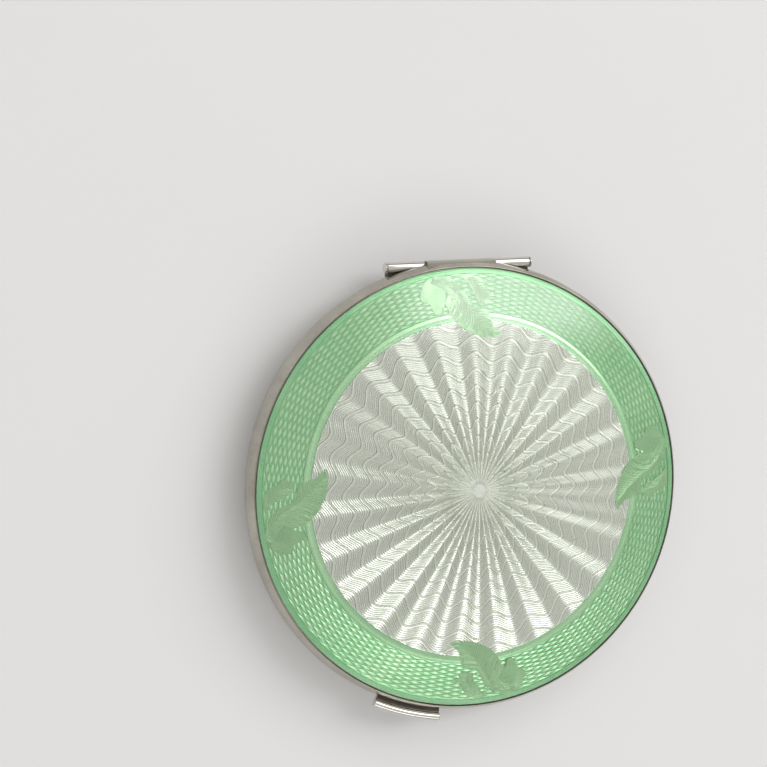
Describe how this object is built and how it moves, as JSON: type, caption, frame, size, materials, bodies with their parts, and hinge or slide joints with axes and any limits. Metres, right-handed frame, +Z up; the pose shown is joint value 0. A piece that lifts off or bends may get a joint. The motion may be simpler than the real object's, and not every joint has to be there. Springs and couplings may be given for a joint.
{
  "type": "pill box",
  "caption": "Slim round hinged pill box: domed enamel lid over engine-turned silver, silver rim, gilt inside, thumb bar and back hinge.",
  "frame": {"origin": "middle of the flat underside of the base, on the surface it rests on, on the axis of the round case", "axes": "+Z up through the lid, +Y towards the hinge at the back, +X to the right when the hinge is at the top"},
  "size_m": [0.05, 0.051, 0.0087],
  "materials": {
    "silver_dish": "polished silver, lightly worn",
    "silver_rim": "polished silver, lightly worn, tarnish in the gaps",
    "silver_bar": "polished silver, rubbed bright",
    "silver_hinge": "polished silver, tarnish in the joints",
    "silver_pin": "drawn silver wire",
    "silver_plate": "bright-cut engine turning",
    "gilt_lining": "satin gilding",
    "gilt_bezel": "polished gilding",
    "enamel_white": "clear enamel over bright-cut silver",
    "enamel_green": "translucent green enamel",
    "enamel_leaf_green": "deeper translucent green enamel",
    "clear_glass": "clear glass, fire polished"
  },
  "bodies": {
    "base": {"base_shell": "silver_dish", "base_lining": "gilt_lining", "base_rim": "silver_rim", "base_bezel": "gilt_bezel", "catch_pip": "gilt_bezel", "hinge_bearer_left": "silver_hinge", "hinge_bearer_right": "silver_hinge", "base_knuckle_left": "silver_hinge", "base_knuckle_right": "silver_hinge", "hinge_pin": "silver_pin", "pin_cap_left": "silver_pin", "pin_cap_right": "silver_pin"},
    "lid": {"lid_rim": "silver_rim", "guilloche_plate": "silver_plate", "enamel_centre": "enamel_white", "enamel_border": "enamel_green", "enamel_leaf_back": "enamel_leaf_green", "enamel_leaf_left": "enamel_leaf_green", "enamel_leaf_front": "enamel_leaf_green", "enamel_leaf_right": "enamel_leaf_green", "enamel_leaflet_back": "enamel_leaf_green", "enamel_leaflet_left": "enamel_leaf_green", "enamel_leaflet_front": "enamel_leaf_green", "enamel_leaflet_right": "enamel_leaf_green", "clear_flux": "clear_glass", "lid_lining": "gilt_lining", "lining_ring": "gilt_bezel", "thumb_bar": "silver_bar", "lid_knuckle": "silver_hinge", "lid_hinge_strap": "silver_hinge"}
  },
  "joints": [
    {"name": "lid_hinge", "type": "hinge", "parent": "base", "child": "lid", "pos_m": [0, 0.0245, 0.0044], "axis": [-1, 0, 0], "range_deg": [0, 100]}
  ]
}
